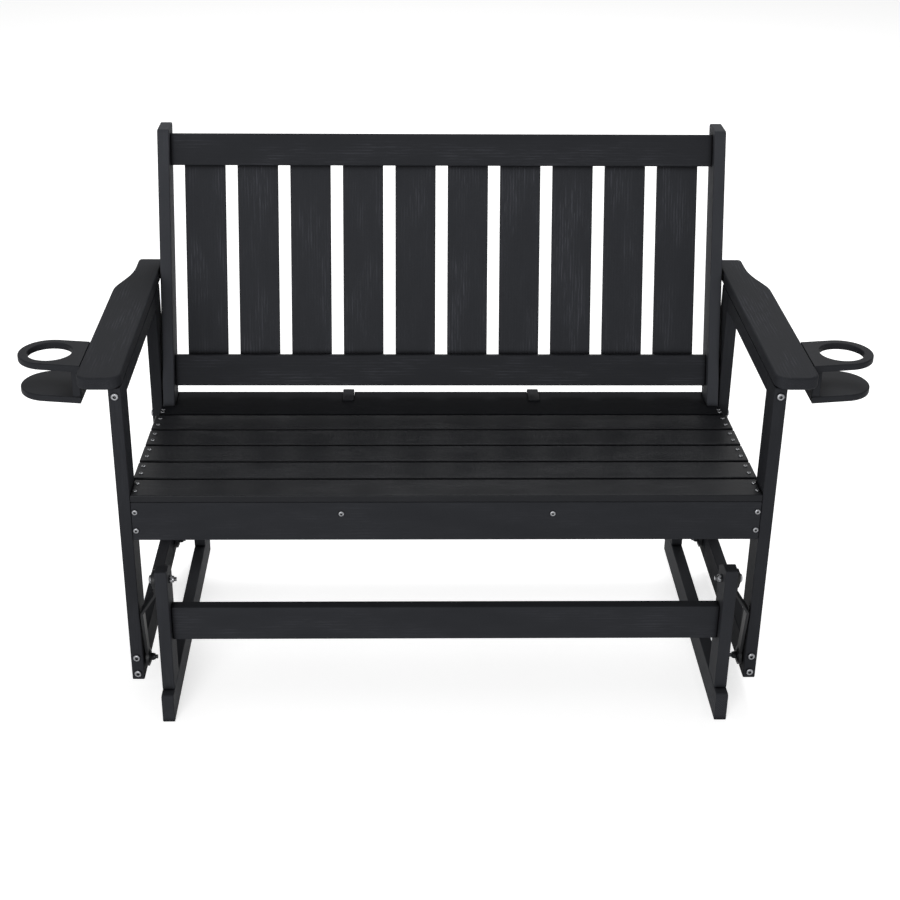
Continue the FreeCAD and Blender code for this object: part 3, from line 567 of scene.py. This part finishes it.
def makeScrewBar(shape, seat, way):
    # the bolt's domed head with its socket, its shank and, past the nut, the thread
    p = pivotBolt
    top = -p["headHeight"]
    profile = [(p["socketDepth"] + top, p["headRadius"], p["socketFlats"]),
               (p["edge"] + top, p["headRadius"], p["socketFlats"]), (top, p["crown"])]
    for step in range(1, p["domeSteps"] + 1):
        turn = math.pi / 2 * step / p["domeSteps"]
        profile.append((top + p["domeShare"] * p["headHeight"] * (1 - math.cos(turn)),
                        p["crown"] + (p["headRadius"] - p["crown"]) * math.sin(turn)))
    profile += [(-p["edge"], p["headRadius"]), (0, p["headRadius"] - p["edge"]), (0, p["shank"])]
    thread = p["seatToNut"] + p["nutHeight"] - p["pitch"]
    end = p["seatToNut"] + p["nutHeight"] + p["tip"]
    profile.append((thread, p["shank"]))
    while thread + p["pitch"] < end - p["threadDepth"]:
        profile += [(thread + p["pitch"] / 2, p["shank"] - p["threadDepth"]),
                    (thread + p["pitch"], p["shank"])]
        thread += p["pitch"]
    profile.append((end, p["shank"] - p["threadDepth"]))
    turned(shape, profile, seat, way, p["finishes"].index("stainlessSteel"), capped=True)


def makeWasher(shape, seat, way, near):
    p = pivotBolt
    hole = p["shank"] + p["play"]
    far = near + p["washer"]
    rim = p["washerRadius"]
    profile = [(near, hole), (near, rim - p["edge"]), (near + p["edge"], rim), (far - p["edge"], rim),
               (far, rim - p["edge"]), (far, hole)]
    turned(shape, profile, seat, way, p["finishes"].index("blackOxide"))


def makeNut(shape, seat, way, finish):
    p = pivotBolt
    hole = p["shank"] + p["play"]
    flats = p["nutFlats"]
    near = p["seatToNut"]
    far = near + p["nutHeight"]
    hexEnd = near + p["nutHex"]
    sunk = far - p["nylonSunk"]
    ringRadius = hole + p["nylon"]
    nut = [(near, hole), (near, flats / 2 + p["nutFace"], flats), (near + p["nutChamfer"], flats, flats),
           (hexEnd - p["nutChamfer"], flats, flats), (hexEnd, flats / 2 - p["nutFace"], flats),
           (hexEnd, p["collarRadius"]), (far - p["collarRound"], p["collarRadius"]),
           (far, p["collarRadius"] - p["collarRound"]), (far, ringRadius), (sunk, ringRadius),
           (sunk, hole)]
    turned(shape, nut, seat, way, p["finishes"].index(finish))
    top = sunk + p["nylonHeight"]
    turned(shape, [(sunk, hole), (sunk, ringRadius), (top, ringRadius), (top, hole)], seat, way,
           p["finishes"].index("nylonInsert"))


def makeBolt(shape, centre, way, height):
    # centre is the bearing's middle; along the bolt, 0 is its head's seat
    p = pivotBolt
    seat = centre - way * mm * Vector((p["seatToBearing"][height], 0, 0))
    makeScrewBar(shape, seat, way)
    firstWasher = p["seatToBearing"][height] - p["bearingRoom"] / 2 - p["washer"]
    makeWasher(shape, seat, way, firstWasher)
    makeWasher(shape, seat, way, firstWasher + p["washer"] + p["bearingRoom"])
    makeNut(shape, seat, way, p["nutFinish"][height])


def makePivots():
    # the frame's joints give the right side's upper pivots and the left side's lower front one, which is
    # mirrored over, and the rear links mirror the front ones
    places = {joint["name"]: Vector(joint["pos_m"]) for joint in frame["record"]["behaviour"]["joints"]}
    upperFront = places["front_right_swing"]
    upperRear = places["rear_right_swing"]
    lowerFront = places["seat_level"] * Vector((-1, 1, 1))
    lowerRear = upperRear + (lowerFront - upperFront) * Vector((1, -1, 1))
    lowerBore = {"front": pivotBearing["boreRadius"], "rear": pivotBearing["openBoreRadius"]}
    boltSets = {"upper": bmesh.new(), "lower": bmesh.new()}
    for side, way in (("left", -1), ("right", 1)):
        mirror = Vector((way, 1, 1))
        for end, upper, lower in (("front", upperFront, lowerFront), ("rear", upperRear, lowerRear)):
            shape = bmesh.new()
            makeBearing(shape, upper * mirror, way, pivotBearing["boreRadius"])
            makeBearing(shape, lower * mirror, way, lowerBore[end])
            finishPiece(shape, side + end.capitalize() + "PivotBearings", end + "_" + side + "_link",
                        side + "_" + end + "_bearings", pivotBearing["finishes"])
            makeBolt(boltSets["upper"], upper * mirror, -way, "upper")
            makeBolt(boltSets["lower"], lower * mirror, -way, "lower")
    finishPiece(boltSets["upper"], "upperPivotBoltSet", "base", "upper_pivot_bolts",
                pivotBolt["finishes"])
    finishPiece(boltSets["lower"], "lowerPivotBoltSet", "seat", "lower_pivot_bolts",
                pivotBolt["finishes"])


makePivots()
print("pivots made")

# The studio: a pale floor, an even white room, a soft front lamp, and one high behind the back, which
# throws the back's shade on the rear of the seat.
studio = {
    "floorColour": "#f2f2f2",
    "floorGlow": 0.62,
    "floorSize": 60.0,
    "roomColour": "#ffffff",
    "roomLight": 0.28,
    "frontPlace": (-1.0, -4.4, 1.7),
    "frontSize": 3.0,
    "frontPower": 150.0,
    "rearPlace": (0.5, 3.0, 4.2),
    "rearSize": 2.5,
    "rearPower": 125.0,
    "aim": (0.0, 0.0, 0.45),
}


def seenDirectly(tree):
    # 1 for the rays that show the background itself, to the camera or in metal and plastic
    path = addNode(tree, "ShaderNodeLightPath")
    direct = addNode(tree, "ShaderNodeMath", {"operation": "MAXIMUM"},
                     {0: path.outputs["Is Camera Ray"], 1: path.outputs["Is Glossy Ray"]})
    clear = addNode(tree, "ShaderNodeMath", {"operation": "MAXIMUM"},
                    {0: direct.outputs[0], 1: path.outputs["Is Transmission Ray"]})
    return clear.outputs[0]


def makeFloor():
    mesh = bpy.data.meshes.new("floor")
    half = studio["floorSize"] / 2
    corners = [(-half, -half, 0), (half, -half, 0), (half, half, 0), (-half, half, 0)]
    mesh.from_pydata(corners, [], [(0, 1, 2, 3)])
    floor = bpy.data.objects.new("floor", mesh)
    bpy.context.scene.collection.objects.link(floor)
    material, tree = newMaterial("paleFloor")
    matte = addNode(tree, "ShaderNodeBsdfDiffuse", inputs={"Color": linearColour(studio["floorColour"])})
    strength = addNode(tree, "ShaderNodeMath", {"operation": "MULTIPLY"},
                       {0: seenDirectly(tree), 1: studio["floorGlow"]})
    glow = addNode(tree, "ShaderNodeEmission",
                   inputs={"Color": linearColour(studio["roomColour"]), "Strength": strength.outputs[0]})
    both = addNode(tree, "ShaderNodeAddShader", inputs={0: matte.outputs[0], 1: glow.outputs[0]})
    finishMaterial(tree, both)
    mesh.materials.append(material)


def makeRoom():
    world = bpy.data.worlds.new("room")
    world.use_nodes = True
    tree = world.node_tree
    tree.nodes.clear()
    strength = addNode(tree, "ShaderNodeMix", {"data_type": "FLOAT"},
                       {0: seenDirectly(tree), 2: studio["roomLight"], 3: 1.0})
    light = addNode(tree, "ShaderNodeBackground",
                    inputs={"Color": linearColour(studio["roomColour"]), "Strength": strength.outputs[0]})
    addNode(tree, "ShaderNodeOutputWorld", inputs={"Surface": light.outputs[0]})
    bpy.context.scene.world = world


def makeLamp(name, place, size, power):
    data = bpy.data.lights.new(name, "AREA")
    data.shape = "DISK"
    data.size = size
    data.energy = power
    lamp = bpy.data.objects.new(name, data)
    lamp.location = place
    lamp.rotation_euler = (Vector(studio["aim"]) - Vector(place)).to_track_quat("-Z", "Y").to_euler()
    bpy.context.scene.collection.objects.link(lamp)


makeFloor()
makeRoom()
makeLamp("frontLamp", studio["frontPlace"], studio["frontSize"], studio["frontPower"])
makeLamp("rearLamp", studio["rearPlace"], studio["rearSize"], studio["rearPower"])
bpy.context.scene.view_settings.view_transform = "Standard"
print("studio made")
